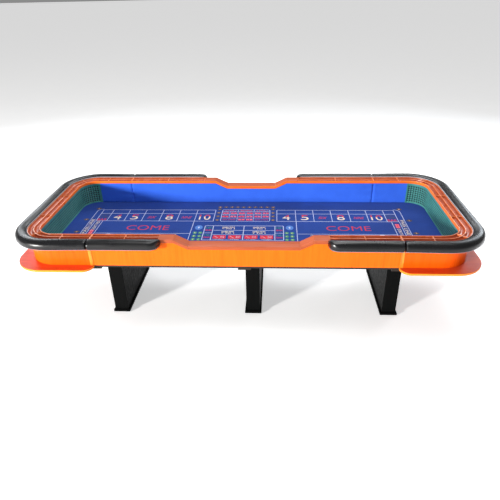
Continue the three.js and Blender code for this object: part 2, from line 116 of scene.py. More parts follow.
class Look:
    """A material and the nodes that make it."""

    def __init__(self, name):
        self.material = bpy.data.materials.new(name)
        self.material.use_nodes = True
        self.tree = self.material.node_tree
        self.shader = self.tree.nodes["Principled BSDF"]
        self.place = self.add("TexCoord").outputs["Object"]

    def add(self, kind, inputs=None, **settings):
        node = self.tree.nodes.new("ShaderNode" + kind)
        for key, value in settings.items():
            setattr(node, key, value)
        for key, value in (inputs or {}).items():
            self.put(node.inputs[key], value)
        return node

    def put(self, socket, value):
        if isinstance(value, bpy.types.NodeSocket):
            self.tree.links.new(value, socket)
        else:
            socket.default_value = value

    def stretched(self, scale, along_run=False):
        """The place on the piece, scaled. Along a swept piece it is the distance along and round it."""
        place = self.add("UVMap", uv_map="run").outputs["UV"] if along_run else self.place
        return self.add("Mapping", {"Vector": place, "Scale": scale}).outputs["Vector"]

    def noise(self, vector, detail=3.0, roughness=0.5, distortion=0.0):
        inputs = {"Vector": vector, "Scale": 1.0, "Detail": detail, "Roughness": roughness,
                  "Distortion": distortion}
        return self.add("TexNoise", inputs).outputs["Fac"]

    def speckle(self, scale, detail=3.0, roughness=0.5, distortion=0.0):
        """Noise alike in every direction, with that many steps a metre."""
        return self.noise(self.stretched((scale,) * 3), detail, roughness, distortion)

    def ramp(self, factor, *stops):
        """stops are (place, colour)."""
        node = self.add("ValToRGB", {"Fac": factor})
        elements = node.color_ramp.elements
        while len(elements) < len(stops):
            elements.new(0.5)
        for element, (place, colour) in zip(elements, stops):
            element.position = place
            element.color = colour
        return node.outputs["Color"]

    def blend(self, factor, first, second, mode="MIX"):
        node = self.add("Mix", data_type="RGBA", blend_type=mode)
        for socket, value in zip((node.inputs[0], node.inputs[6], node.inputs[7]), (factor, first, second)):
            self.put(socket, value)
        return node.outputs[2]

    def spread(self, value, low_in, high_in, low_out, high_out):
        inputs = {"Value": value, "From Min": low_in, "From Max": high_in, "To Min": low_out,
                  "To Max": high_out}
        return self.add("MapRange", inputs).outputs["Result"]

    def bump(self, height, distance, strength, under=None):
        inputs = {"Height": height, "Distance": distance, "Strength": strength}
        if under is not None:
            inputs["Normal"] = under
        return self.add("Bump", inputs).outputs["Normal"]

    def set(self, **sockets):
        """Sets the shader's sockets; a name's underscores stand for spaces."""
        for name, value in sockets.items():
            self.put(self.shader.inputs[name.replace("_", " ")], value)
        return self.material


def wood(name, pale, mid, dark, grain, along_run, finish):
    """Varnished wood: broad colour drift, fibres stretched along the grain, and fine pores."""
    look = Look(name)
    pale, mid, dark = srgb(*pale), srgb(*mid), srgb(*dark)
    roughness, coat, pores, gloss = finish
    fibres = look.noise(look.stretched(grain, along_run=along_run), 6.0, 0.62, 0.25)
    drift = look.noise(look.stretched([g * 0.09 for g in grain], along_run=along_run), 2.0)
    colour = look.ramp(fibres, (0.32, dark), (0.5, mid), (0.7, pale))
    drifted = look.blend(look.spread(drift, 0.35, 0.65, 0.0, 0.55), colour, mid)
    pore_lines = look.noise(look.stretched([g * 3.1 for g in grain], along_run=along_run), 2.0)
    shade = look.ramp(pore_lines, (0.36, (1 - pores,) * 3 + (1,)), (0.46, (1, 1, 1, 1)))
    base = look.blend(0.8, drifted, shade, "MULTIPLY")
    smears = look.speckle(9, 4.0)
    rough = look.spread(smears, 0.3, 0.7, roughness * 0.8, roughness * 1.25)
    normal = look.bump(look.speckle(14, 1.0), 0.0008, 0.25, look.bump(fibres, 0.00025, 0.35))
    return look.set(Base_Color=base, Roughness=rough, Normal=normal, Coat_Weight=coat, Coat_Roughness=0.12,
                    Coat_IOR=1.5, Specular_IOR_Level=gloss)


def weave_height(look, scale):
    """Threads over and under each other, alike in every direction."""
    inputs = {"Vector": look.stretched((scale,) * 3), "Scale": 1.0, "Distortion": 0.6, "Detail": 1.0}
    threads = [look.add("TexWave", inputs, bands_direction=axis).outputs["Fac"] for axis in "XYZ"]
    crossed = look.add("Math", {0: threads[0], 1: threads[1]}, operation="MULTIPLY").outputs[0]
    return look.add("Math", {0: crossed, 1: threads[2]}, operation="ADD").outputs[0]


def cloth(name, colour, shade, weave, relief, sheen):
    """Short-nap game cloth: a fine weave, a fuzzy sheen and a slow drift of colour."""
    look = Look(name)
    fuzz = look.speckle(700, 2.0)
    patch = look.speckle(2.6, 4.0, 0.6)
    tone = look.blend(look.spread(patch, 0.3, 0.7, 0.0, 1.0), colour, shade)
    flecks = look.ramp(fuzz, (0.3, (0.72, 0.72, 0.75, 1)), (0.6, (1, 1, 1, 1)))
    base = look.blend(0.48, tone, flecks, "MULTIPLY")
    normal = look.bump(weave_height(look, weave), relief, 0.5)
    normal = look.bump(fuzz, relief * 0.7, 0.5, normal)
    return look.set(Base_Color=base, Roughness=0.92, Normal=normal, Sheen_Weight=sheen, Sheen_Roughness=0.45,
                    Specular_IOR_Level=0.2)


def ink(name, colour, wear):
    """Print on the cloth: the colour sinks into the nap, which shows through it by the wear."""
    look = Look(name)
    fuzz = look.speckle(620, 3.0)
    patch = look.speckle(23, 4.0)
    thin = look.blend(look.spread(fuzz, 0.35, 0.7, 0.0, wear), colour, srgb(40, 62, 140))
    base = look.blend(look.spread(patch, 0.3, 0.8, 0.0, wear * 0.6), thin, srgb(60, 70, 110))
    return look.set(Base_Color=base, Roughness=0.88, Normal=look.bump(fuzz, 0.0003, 0.5), Sheen_Weight=0.15,
                    Specular_IOR_Level=0.25)


def leather(name, colour, pale, rough_low, rough_high, gloss):
    """Padded vinyl: small pebbles with creases between them, a soft gloss and rubbed high spots."""
    look = Look(name)
    inputs = {"Vector": look.stretched((1, 1, 1)), "Scale": 420.0, "Randomness": 0.9}
    pebbles = look.add("TexVoronoi", inputs, feature="SMOOTH_F1").outputs["Distance"]
    creases = look.speckle(60, 5.0, 0.65, 0.8)
    rubbed = look.speckle(5, 3.0, 0.55)
    base = look.blend(look.spread(rubbed, 0.4, 0.7, 0.0, 0.5), colour, pale)
    rough = look.spread(rubbed, 0.3, 0.7, rough_high, rough_low)
    normal = look.bump(pebbles, 0.0006, 0.35)
    normal = look.bump(creases, 0.0007, 0.3, normal)
    return look.set(Base_Color=base, Roughness=rough, Normal=normal, Specular_IOR_Level=gloss)


def rubber(name, colour, dusty):
    """Moulded rubber, dusty in patches, with painted shade: near black where the mesh's depth attribute is
    high, in the valleys between the studs and most where they cross.
    """
    look = Look(name)
    grit = look.speckle(900, 2.0)
    patch = look.speckle(7, 4.0, 0.6)
    skin = look.blend(look.spread(patch, 0.35, 0.7, 0.0, 0.7), colour, dusty)
    depth = look.add("Attribute", attribute_name="depth").outputs["Fac"]
    # painted shade: the valleys are blended towards near black by their depth
    base = look.blend(look.spread(depth, 0.46, 0.66, 0.0, 0.95), skin, srgb(5, 22, 24))
    return look.set(Base_Color=base, Roughness=0.55, Normal=look.bump(grit, 0.0002, 0.4),
                    Specular_IOR_Level=0.4)


def laminate(name, colour, shade, grain, roughness, coat, gloss):
    """A printed laminate sheet: faint long figure under a clear face with a little orange peel."""
    look = Look(name)
    figure = look.noise(look.stretched(grain), 5.0, 0.6, 0.6)
    base = look.ramp(figure, (0.3, shade), (0.62, colour))
    peel = look.speckle(160, 1.0)
    scuffs = look.speckle(35, 6.0, 0.7)
    rough = look.spread(scuffs, 0.35, 0.75, roughness * 0.8, roughness * 1.4)
    return look.set(Base_Color=base, Roughness=rough, Normal=look.bump(peel, 0.0004, 0.15), Coat_Weight=coat,
                    Coat_Roughness=0.1, Coat_IOR=1.5, Specular_IOR_Level=gloss)


def metal(name):
    look = Look(name)
    brushed = look.noise(look.stretched((60, 60, 900)))
    rough = look.spread(brushed, 0.3, 0.7, 0.28, 0.45)
    base = look.ramp(brushed, (0.3, srgb(150, 152, 155)), (0.7, srgb(190, 192, 195)))
    return look.set(Base_Color=base, Metallic=1.0, Roughness=rough, Normal=look.bump(brushed, 0.0001, 0.3))


WOODS = {  # material, pale, mid and dark tone, grain, whether it follows the run, and the finish
    "veneer": ("apron_veneer", (254, 111, 18), (252, 106, 14), (249, 99, 11),
               (38, 38, 2.2), False, (0.4, 0.03, 0.12, 0.1)),
    "end_veneer": ("end_apron_veneer", (254, 101, 12), (250, 96, 10), (244, 88, 8),
                   (38, 38, 2.2), False, (0.4, 0.03, 0.12, 0.1)),
    # the rail's wood is darker than its rims: painted shade in the grooves
    "rail_wood": ("rail_wood_painted_shade", (188, 90, 50), (168, 72, 38), (142, 54, 28),
                  (5, 90, 5), True, (0.28, 0.12, 0.25, 0.3)),
    # the rims are paler: a painted highlight along the rim tops and the dividers
    "rail_rim": ("rail_rim_painted_highlight", (232, 142, 92), (216, 122, 72), (186, 92, 50),
                 (5, 90, 5), True, (0.26, 0.4, 0.2, 0.5)),
    "drop_wood": ("drop_rail_varnish", (176, 90, 58), (168, 82, 50), (158, 74, 42),
                  (3, 60, 5), True, (0.38, 0.0, 0.1, 0.12)),
    "rail_edge": ("rail_edge_varnish", (250, 130, 40), (240, 108, 26), (214, 84, 18),
                  (5, 90, 5), True, (0.32, 0.2, 0.2, 0.3)),
    "seam_strip": ("seam_strip_varnish", (250, 160, 48), (236, 140, 36), (190, 100, 24),
                   (60, 60, 3), False, (0.32, 0.15, 0.25, 0.3)),
    "timber": ("frame_pine", (218, 186, 134), (200, 162, 108), (172, 130, 82),
               (4, 46, 46), False, (0.7, 0.0, 0.3, 0.5)),
    "deck": ("deck_sealed_ply", (50, 36, 28), (38, 27, 22), (26, 18, 15),
             (4, 30, 60), False, (0.6, 0.05, 0.4, 0.3)),
}
looks = {key: wood(*row) for key, row in WOODS.items()}
looks.update({
    "shelf_top": laminate("shelf_laminate_top", srgb(228, 88, 38), srgb(212, 70, 26),
                          (3, 22, 3), 0.38, 0.03, 0.18),
    "shelf_band": laminate("shelf_edge_band", srgb(255, 146, 30), srgb(250, 128, 20),
                           (6, 6, 60), 0.34, 0.1, 0.25),
    "pedestal": laminate("pedestal_black_laminate", srgb(10, 11, 11), srgb(7, 8, 8),
                         (40, 40, 5), 0.5, 0.0, 0.04),
    "felt": cloth("wall_felt", srgb(52, 104, 222), srgb(44, 92, 206), 520, 0.0005, 0.06),
    "layout": cloth("layout_game_cloth", srgb(28, 60, 136), srgb(24, 52, 120), 640, 0.0004, 0.03),
    "rubber": rubber("wall_diamond_rubber", srgb(50, 118, 114), srgb(70, 138, 132)),
    "underlay": rubber("underlay_sheet", srgb(48, 48, 50), srgb(62, 62, 64)),
    "armrest": leather("armrest_vinyl", srgb(11, 11, 13), srgb(20, 20, 23), 0.24, 0.34, 0.42),
    # pale grey piping and welt: a painted highlight along the beads on the dark roll
    "piping": leather("armrest_piping_painted_highlight", srgb(150, 148, 158), srgb(178, 176, 186), 0.3, 0.4, 0.4),
    "steel": metal("zinc_plate"),
})

INKS = {  # colour, and how much of the nap shows through it
    "white": ((190, 198, 222), 0.35),
    "cream": ((232, 214, 178), 0.35),
    "red": ((186, 18, 26), 0.12),
    "scarlet": ((224, 28, 34), 0.12),
    "green": ((36, 124, 74), 0.15),
    "orange": ((220, 156, 92), 0.15),
    "black": ((56, 50, 54), 0.1),
    "sky": ((62, 112, 184), 0.15),
}
looks.update({"ink_" + key: ink("print_" + key, srgb(*colour), wear) for key, (colour, wear) in INKS.items()})


# ---- pieces ----
def new_object(name, data):
    thing = bpy.data.objects.new(name, data)
    bpy.context.scene.collection.objects.link(thing)
    return thing


def piece_of(name, mesh, materials, replaces=(), sharp=35.0):
    """Makes a piece that rides the table, from a bmesh."""
    bmesh.ops.recalc_face_normals(mesh, faces=mesh.faces)
    data = bpy.data.meshes.new(name)
    mesh.to_mesh(data)
    mesh.free()
    for key in materials:
        data.materials.append(looks[key])
    for polygon in data.polygons:
        polygon.use_smooth = True
    data.set_sharp_from_angle(angle=radians(sharp))
    piece = new_object(name, data)
    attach(piece, BODY)
    if replaces:
        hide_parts(*replaces)
    return piece


def bevel(piece, width, segments=2):
    modifier = piece.modifiers.new("Bevel", "BEVEL")
    modifier.width = width
    modifier.segments = segments
    modifier.limit_method = "ANGLE"
    modifier.angle_limit = radians(40)


class EndPath:
    """The rail's inner edge round one end, by distance from one seam to the other, clockwise."""

    def __init__(self, side, start_x):
        self.side = side
        self.start_x = start_x
        self.straight = HALF_L - CORNER_R - start_x
        self.quarter = CORNER_R * pi / 2
        self.across = 2 * (HALF_W - CORNER_R)
        self.length = 2 * self.straight + 2 * self.quarter + self.across

    def at(self, distance):
        """(point, outward direction) there; the path's second half mirrors its first."""
        if distance > self.length / 2:
            point, out = self.at(self.length - distance)
            return Vector((point.x, -point.y, 0)), Vector((out.x, -out.y, 0))
        past_straight = distance - self.straight
        if past_straight <= 0:
            point, out = Vector((self.start_x + distance, HALF_W, 0)), Vector((0, 1, 0))
        elif past_straight <= self.quarter:
            angle = past_straight / CORNER_R
            out = Vector((sin(angle), cos(angle), 0))
            point = Vector((HALF_L - CORNER_R, HALF_W - CORNER_R, 0)) + out * CORNER_R
        else:
            along_end = past_straight - self.quarter
            point, out = Vector((HALF_L, HALF_W - CORNER_R - along_end, 0)), Vector((1, 0, 0))
        return point * self.side, out * self.side

    def stations(self, pitch):
        count = ceil(self.length / pitch)
        return [self.at(self.length * i / count) for i in range(count + 1)]


def long_station(side, x):
    """(point, outward direction) on a long side's rail at x; side is -1 for the front."""
    return Vector((x, side * HALF_W, 0)), Vector((0, side, 0))


def long_stations(side, x0, x1, pitch):
    """Stations along a long side's rail from x0 to x1."""
    count = max(1, ceil(abs(x1 - x0) / pitch))
    return [long_station(side, x0 + (x1 - x0) * i / count) for i in range(count + 1)]


def fillet(corners, steps=3):
    """Rounds a section. corners are (s, z) or (s, z, radius)."""
    points = []
    for i, corner in enumerate(corners):
        here = Vector(corner[:2])
        if len(corner) == 2:
            points.append(here)
            continue
        before = Vector(corners[i - 1][:2]) - here
        after = Vector(corners[(i + 1) % len(corners)][:2]) - here
        half = before.angle(after) / 2
        reach = min(corner[2] / tan(half), 0.45 * before.length, 0.45 * after.length)
        start = here + before.normalized() * reach
        end = here + after.normalized() * reach
        for k in range(steps + 1):
            t = k / steps
            points.append(start * (1 - t) ** 2 + here * 2 * t * (1 - t) + end * t ** 2)
    return points


def loft(stations, sections, finish_of=None):
    """A closed skin over one section per station, whose points are (outward, height).

    finish_of(first, second) picks a section edge's material. The run map holds distances along and round."""
    mesh = bmesh.new()
    run = mesh.loops.layers.uv.new("run")
    rings = []
    for (point, out), section in zip(stations, sections):
        rings.append([mesh.verts.new(point + out * s + Vector((0, 0, z))) for s, z in section])
    count = len(sections[0])
    around = [0.0]
    for k in range(count):
        first, second = Vector(sections[0][k]), Vector(sections[0][(k + 1) % count])
        around.append(around[-1] + (second - first).length)
    distance = 0.0
    for i in range(len(rings) - 1):
        step = (stations[i + 1][0] - stations[i][0]).length
        for k in range(count):
            j = (k + 1) % count
            face = mesh.faces.new((rings[i][k], rings[i + 1][k], rings[i + 1][j], rings[i][j]))
            places = ((distance, around[k]), (distance + step, around[k]), (distance + step, around[k + 1]),
                      (distance, around[k + 1]))
            for loop, place in zip(face.loops, places):
                loop[run].uv = place
            if finish_of is not None:
                face.material_index = finish_of(sections[i][k], sections[i][j])
        distance += step
    for ring, section in ((rings[0], sections[0]), (rings[-1], sections[-1])):
        cap = mesh.faces.new(ring)
        for loop, (s, z) in zip(cap.loops, section):
            loop[run].uv = (z, s)
    return mesh


def sweep(section, stations, finish_of=None):
    return loft(stations, [section] * len(stations), finish_of)


RAIL_FINISHES = ("rail_wood", "rail_edge", "rail_rim")
EDGE_STRIP_DEPTH = 0.0012  # how far the inner face's strip wraps round onto the top
# how far down the rims' painted highlight reaches
RIM_DEPTH = 0.0016


def board_finish(first, second):
    """The edge strip on a board's inner face, and stained wood elsewhere."""
    return 1 if max(first[0], second[0]) < EDGE_STRIP_DEPTH else 0


def rail_finish(first, second):
    """A board's finish: pale, glossier rims on top, a painted highlight, against darker wood that stands in
    for the shade in the grooves.
    """
    on_rim = min(first[1], second[1]) > RAIL_TOP - RIM_DEPTH
    return board_finish(first, second) or (2 if on_rim else 0)


def oval_arc(cx, cy, rx, ry, start, end, steps):
    angles = [start + (end - start) * i / steps for i in range(steps + 1)]
    return [(cx + rx * cos(a), cy + ry * sin(a)) for a in angles]


def arc(cx, cy, radius, start, end, steps=16):
    return oval_arc(cx, cy, radius, radius, start, end, steps)


def slab(outline, z0, z1, mesh=None):
    """A closed slab over a plan outline, added to the mesh or in a new one."""
    if mesh is None:
        mesh = bmesh.new()
    bottom = [mesh.verts.new((x, y, z0)) for x, y in outline]
    top = [mesh.verts.new((x, y, z1)) for x, y in outline]
    mesh.faces.new(bottom)
    mesh.faces.new(top)
    for i in range(len(outline)):
        j = (i + 1) % len(outline)
        mesh.faces.new((bottom[i], bottom[j], top[j], top[i]))
    return mesh


# ---- chip rails ----
def chip_rail_section():
    corners = [(0, RAIL_UNDER, 0.001), (0, RAIL_TOP, 0.0025)]
    for start in (RIM_W, 2 * RIM_W + 2 * GROOVE_R):
        centre = start + GROOVE_R
        groove = arc(centre, RAIL_TOP, GROOVE_R, pi, 2 * pi, 18)
        corners += [(*groove[0], 0.0014), *groove[1:-1], (*groove[-1], 0.0014)]
    corners += [(RAIL_W, RAIL_TOP, 0.0015), (RAIL_W, RAIL_UNDER, 0.001)]
    return fillet(corners)


def add_divider(mesh, point, out):
    """A round-topped divider across both grooves."""
    along = Vector((-out.y, out.x, 0))
    half = DIVIDER_T / 2
    foot = RAIL_UNDER + DIVIDER_LIFT
    profile = [(-half, foot), *arc(0, RAIL_TOP - DIVIDER_DROP - half, half, pi, 0, 8), (half, foot)]
    rings = []
    for s in (RIM_W / 2, RAIL_W - RIM_W / 2):
        rings.append([mesh.verts.new(point + out * s + along * t + Vector((0, 0, z))) for t, z in profile])
    for ring in rings:
        mesh.faces.new(ring)
    for k in range(len(profile)):
        j = (k + 1) % len(profile)
        mesh.faces.new((rings[0][k], rings[0][j], rings[1][j], rings[1][k]))


def make_chip_rail(key, stations, divider_places):
    """One rail with its two grooves, and the dividers let into it."""
    rail = sweep(chip_rail_section(), stations, rail_finish)
    piece_of(f"chip_rail_{key}_grooved", rail, RAIL_FINISHES, (f"chip_rail_{key}",))
    dividers = bmesh.new()
    dividers.loops.layers.uv.new("run")
    for point, out in divider_places:
        add_divider(dividers, point, out)
    # the dividers take the rims' pale colour, a painted highlight
    piece_of(f"chip_dividers_{key}", dividers, ("rail_rim",))


def make_chip_rails():
    seam = SEAM_X + GAP / 2
    for end, side in ENDS.items():
        path = EndPath(side, seam)
        corner = path.straight + path.quarter / 2
        near_half = (DIVIDER_T / 2, LONG_DIVIDER_X - seam, corner, path.length / 2 - END_DIVIDER_Y)
        places = [path.at(distance) for near in near_half for distance in (near, path.length - near)]
        make_chip_rail(f"{end}_end", path.stations(0.012), places)
    for row, sign in SIDES.items():
        x0, x1 = CUTOUTS[row][0] + GAP / 2, SEAM_X - GAP / 2
        divider_xs = (x0 + DIVIDER_T / 2, (x0 + x1) / 2, x1 - DIVIDER_T / 2)
        for end, side in ENDS.items():
            stations = long_stations(sign, side * x0, side * x1, 0.05)
            make_chip_rail(f"{row}_{end}", stations, [long_station(sign, side * x) for x in divider_xs])


# ---- drop rails ----
def make_drop_rails():
    """Five boards with hairline joints round each dealers' cut-out."""
    for row, sign in SIDES.items():
        block_x, slope_top, slope_foot = CUTOUTS[row]
        line = [(-block_x + GAP, 0), (-slope_top, 0), (-slope_foot, -CUTOUT_DROP), (slope_foot, -CUTOUT_DROP),
                (slope_top, 0), (block_x - GAP, 0)]
        names = ("block_left", "slope_left", "level", "slope_right", "block_right")
        for name, (x0, z0), (x1, z1) in zip(names, line, line[1:]):
            mesh = drop_board(sign, x0 + GAP, z0, x1 - GAP, z1)
            piece = piece_of(f"drop_rail_{row}_{name}", mesh, ("drop_wood", "rail_edge"),
                             (f"drop_rail_{row}",))
            bevel(piece, 0.0008)


def drop_board(sign, x0, z0, x1, z1):
    """A board whose top runs from z0 at x0 to z1 at x1, both from the rail's top."""
    corners = [(0, RAIL_UNDER, 0.0015), (0, RAIL_TOP, 0.003), (RAIL_W, RAIL_TOP, 0.003),
               (RAIL_W, RAIL_UNDER, 0.0015)]
    section = fillet(corners)
    stations = long_stations(sign, x0, x1, abs(x1 - x0) + 1)
    sections = [[(s, z + drop) for s, z in section] for drop in (z0, z1)]
    return loft(stations, sections, board_finish)


# ---- walls ----
FELT_ROUNDING, FELT_ROUNDED_W = 0.0045, 0.02  # depth and width of each
FELT_CREASE, FELT_CREASE_W = 0.009, 0.008
FELT_PUCKER, FELT_PUCKER_W = 0.0022, 0.05
FELT_DRIFT = 0.0012
FELT_ROWS = 22

STUD_HALF_PITCH = 0.0108
STUD_H = 0.007
RUBBER_FOOT_BORDER, RUBBER_HEAD_BORDER = 0.006, 0.014


def wall_line(row, x, z_top):
    """The height of a long wall's top at x: it steps down at the cut-out."""
    _, slope_top, slope_foot = CUTOUTS[row]
    share = min(max((slope_top - abs(x)) / (slope_top - slope_foot), 0), 1)
    return z_top - CUTOUT_DROP * share


def felt_relief(x, z, z_top):
    """How far the padded face stands back at x, z: rounded at its edges, pinched at the seams."""
    from_edge = min(z - WALL_FOOT, z_top - z)
    rounding = FELT_ROUNDING * max(0, 1 - from_edge / FELT_ROUNDED_W) ** 2
    off_seam = abs(abs(x) - SEAM_X)
    crease = FELT_CREASE * exp(-(off_seam / FELT_CREASE_W) ** 2)
    pull = FELT_PUCKER * exp(-off_seam / FELT_PUCKER_W)
    pucker = pull * sin(z * 95 + 3 * noise.noise(Vector((x * 9, z * 9, 2))))
    drift = FELT_DRIFT * noise.noise(Vector((x * 6, z * 2, 5)))
    return rounding + crease + pucker + drift + FELT_DRIFT


def make_felt_walls():
    for row, sign in SIDES.items():
        half = high(f"felt_wall_{row}").x
        stations = long_stations(sign, -half, half, 0.006)
        sections = []
        for point, _ in stations:
            top = wall_line(row, point.x, WALL_TOP)
            section = [(PAD_OUT, WALL_FOOT)]
            for k in range(FELT_ROWS + 1):
                z = WALL_FOOT + (top - WALL_FOOT) * k / FELT_ROWS
                section.append((PAD_IN + felt_relief(point.x, z, top), z))
            section.append((PAD_OUT, top))
            sections.append(section)
        wall = piece_of(f"felt_wall_{row}_padded", loft(stations, sections), ("felt",),
                        (f"felt_wall_{row}",), sharp=60)


def valley_depth(i, k):
    """How deep the grid point lies: 0 on a stud's point, 0.5 between two studs, 1 where valleys cross."""
    return 1.0 - 0.5 * (i % 2) - 0.5 * (k % 2)


def make_rubber_walls():
    """Diamond-studded rubber round each end, with a plain border."""
    foot, head = WALL_FOOT + RUBBER_FOOT_BORDER, WALL_TOP - RUBBER_HEAD_BORDER
    rows = round((head - foot) / STUD_HALF_PITCH / 2) * 2
    start = low("rubber_wall_right").x
    for end, side in ENDS.items():
        stations = EndPath(side, start).stations(STUD_HALF_PITCH)
        last = len(stations) - 1
        mesh = bmesh.new()
        # the depth also sets the rubber material's painted shade in the valleys
        depth = mesh.verts.layers.float.new("depth")
        grid = []
        for i, (point, out) in enumerate(stations):
            column = [(PAD_OUT, WALL_FOOT, 0), (PAD_IN, WALL_FOOT, 0)]  # outward, height, depth
            for k in range(rows + 1):
                plain = k in (0, rows) or i < 2 or i > last - 2
                valley = 0 if plain else valley_depth(i, k)
                column.append((PAD_IN + (STUD_H if valley else 0), foot + (head - foot) * k / rows, valley))
            column += [(PAD_IN, WALL_TOP, 0), (PAD_OUT, WALL_TOP, 0)]
            grid.append([mesh.verts.new(point + out * s + Vector((0, 0, z))) for s, z, _ in column])
            for vertex, (_, _, valley) in zip(grid[-1], column):
                vertex[depth] = valley
        count = len(grid[0])
        for i in range(last):
            for k in range(count):
                j = (k + 1) % count
                a, b, c, d = grid[i][k], grid[i + 1][k], grid[i + 1][j], grid[i][j]
                halves = ((a, b, c), (a, c, d)) if (i + k) % 2 == 0 else ((a, b, d), (b, c, d))
                for half in halves:
                    mesh.faces.new(half)
        mesh.faces.new(grid[0])
        mesh.faces.new(grid[-1])
        piece_of(f"rubber_wall_{end}_studded", mesh, ("rubber",), (f"rubber_wall_{end}",),
                 sharp=15)


def make_end_aprons():
    """One board bent round each end."""
    section = fillet([(APRON_IN, WALL_FOOT, 0.001), (APRON_IN, WALL_TOP, 0.001), (APRON_OUT, WALL_TOP, 0.001),
                      (APRON_OUT, WALL_FOOT, 0.0015)])
    start = low("apron_right_end").x
    for end, side in ENDS.items():
        name = f"apron_{end}_end"
        mesh = sweep(section, EndPath(side, start).stations(0.012))
        piece_of(name + "_bent", mesh, ("end_veneer",), (name,))


# ---- drink shelves ----
def make_shelves():
    """A U-shaped shelf round each end, from seam to seam."""
    right = high("drink_shelf_right")
    seam = low("drink_shelf_right").x
    overhang = right.y - APRON_FACE_Y
    cx, cy = right.x - SHELF_CORNER_R, right.y - SHELF_CORNER_R
    rear_half = [*arc(seam + overhang, APRON_FACE_Y, overhang, pi, pi / 2),
                 *arc(cx, cy, SHELF_CORNER_R, pi / 2, 0)]
    outer = rear_half + [(x, -y) for x, y in reversed(rear_half)]
    path = EndPath(1, seam)
    inner = [(point + out * SHELF_SEAT)[:2] for point, out in reversed(path.stations(0.02))]
    for end, side in ENDS.items():
        outline = [(x * side, y * side) for x, y in outer + inner]
        mesh = slab(outline, SHELF_FOOT, SHELF_TOP)
        for face in mesh.faces:
            face.normal_update()
            face.material_index = 0 if abs(face.normal.z) > 0.5 else 1
        shelf = piece_of(f"drink_shelf_{end}_laminated", mesh, ("shelf_top", "shelf_band"),
                         (f"drink_shelf_{end}",))
        bevel(shelf, 0.0016, 3)


# ---- armrests ----
ARMREST_SHOULDER = RAIL_TOP + 0.007
ARMREST_LOWER_R = 0.028
ARMREST_POINTS = 52  # round the section
SHRINK = 0.0025  # the cover starts this much smaller, and swells
END_FULLNESS = 0.10  # how much wider the roll is round the ends than at its joints
JOINT_LAP = 0.002  # the covers bulge this far into the joint between two rolls
PUCKER_REACH = 0.12
PIPING_R = 0.003
WELT_R = 0.0013
TIP_R = ARMREST_OUT - SHRINK - ARMREST_IN - 0.002  # the tips beside the cut-outs, rounded in plan
COVER = {
    "quality": 6, "mass": 0.4, "tension_stiffness": 12, "compression_stiffness": 12, "shear_stiffness": 6,
    "bending_stiffness": 1.5, "use_pressure": True, "uniform_pressure_force": 4.0,
    "vertex_group_mass": "tacked",
}
CLOTH_STEPS = 20
CLOTH_CAP = 0.005  # no point of a cover moves further


def armrest_section():
    """The roll before it swells, evenly stepped."""
    inner = RAIL_W + GAP + 0.0012
    outer = ARMREST_OUT - SHRINK
    middle, reach = (inner + outer) / 2, (outer - inner) / 2
    foot, top = ARMREST_FOOT + 0.001, ARMREST_TOP - SHRINK
    side_top = ARMREST_FOOT + ARMREST_LOWER_R + 0.012
    corner = ARMREST_LOWER_R
    dense = [(ARMREST_IN, foot + 0.006), (ARMREST_IN + 0.006, foot)]
    dense += arc(outer - corner, foot + corner, corner, -pi / 2, 0, 12)
    dense += oval_arc(middle, side_top, reach, top - side_top, 0, pi / 2, 15)
    dense += oval_arc(middle, ARMREST_SHOULDER, reach, top - ARMREST_SHOULDER, pi / 2, pi, 11)[1:]
    dense += [(inner, WALL_TOP), (ARMREST_IN, WALL_TOP)]
    corners = np.array(dense + dense[:1])
    reach_along = np.concatenate([[0], np.cumsum(np.linalg.norm(np.diff(corners, axis=0), axis=1))])
    even = np.linspace(0, reach_along[-1], ARMREST_POINTS + 1)[:-1]
    across, up = (np.interp(even, reach_along, corners[:, axis]) for axis in (0, 1))
    return list(zip(across.tolist(), up.tolist()))


def tip_section(section, from_tip):
    """The section near a rounded tip: narrower in plan, and drawn in from above and below."""
    short = max(0, TIP_R - from_tip - 0.0015)
    limit = ARMREST_OUT - SHRINK - TIP_R + sqrt(TIP_R ** 2 - short ** 2)
    width = (limit - ARMREST_IN) / (ARMREST_OUT - SHRINK - ARMREST_IN)
    height = 1 - 0.45 * max(0, 1 - from_tip / 0.035) ** 2
    middle = ARMREST_FOOT + 0.6 * (ARMREST_TOP - ARMREST_FOOT)
    return [(ARMREST_IN + (s - ARMREST_IN) * width, middle + (z - middle) * height) for s, z in section]


def outward_and_height(x, y, z):
    """(s, z) of a point: how far outward from the rail's inner edge it is."""
    dx = abs(x) - (HALF_L - CORNER_R)
    dy = abs(y) - (HALF_W - CORNER_R)
    if dx > 0 and dy > 0:
        return hypot(dx, dy) - CORNER_R, z
    return max(dx, dy) - CORNER_R, z


def swell(piece):
    """Blows the cover up under air pressure, held where it is tacked down, and keeps the result."""
    data = piece.data
    held = [v.index for v in data.vertices if is_tacked(v.co)]
    group = piece.vertex_groups.new(name="tacked")
    group.add(held, 1.0, "REPLACE")
    cover = piece.modifiers.new("Cloth", "CLOTH")
    for key, value in COVER.items():
        setattr(cover.settings, key, value)
    cover.settings.effector_weights.gravity = 0
    cover.point_cache.frame_start, cover.point_cache.frame_end = 1, CLOTH_STEPS
    scene = bpy.context.scene
    for step in range(1, CLOTH_STEPS + 1):
        scene.frame_set(step)
    swollen = piece.evaluated_get(bpy.context.evaluated_depsgraph_get())
    for vertex, moved in zip(data.vertices, swollen.data.vertices):
        shift = moved.co - vertex.co
        if shift.length > CLOTH_CAP:
            shift *= CLOTH_CAP / shift.length
        vertex.co = vertex.co + shift
    piece.modifiers.remove(cover)
    scene.frame_set(1)
    data.update()


def is_tacked(co):
    """Where the cover is fixed: at its back, under the rail and along its underside."""
    s, z = outward_and_height(*co)
    return s < RAIL_W + 0.002 and z < ARMREST_SHOULDER - 0.004 or z < ARMREST_FOOT + 0.0015


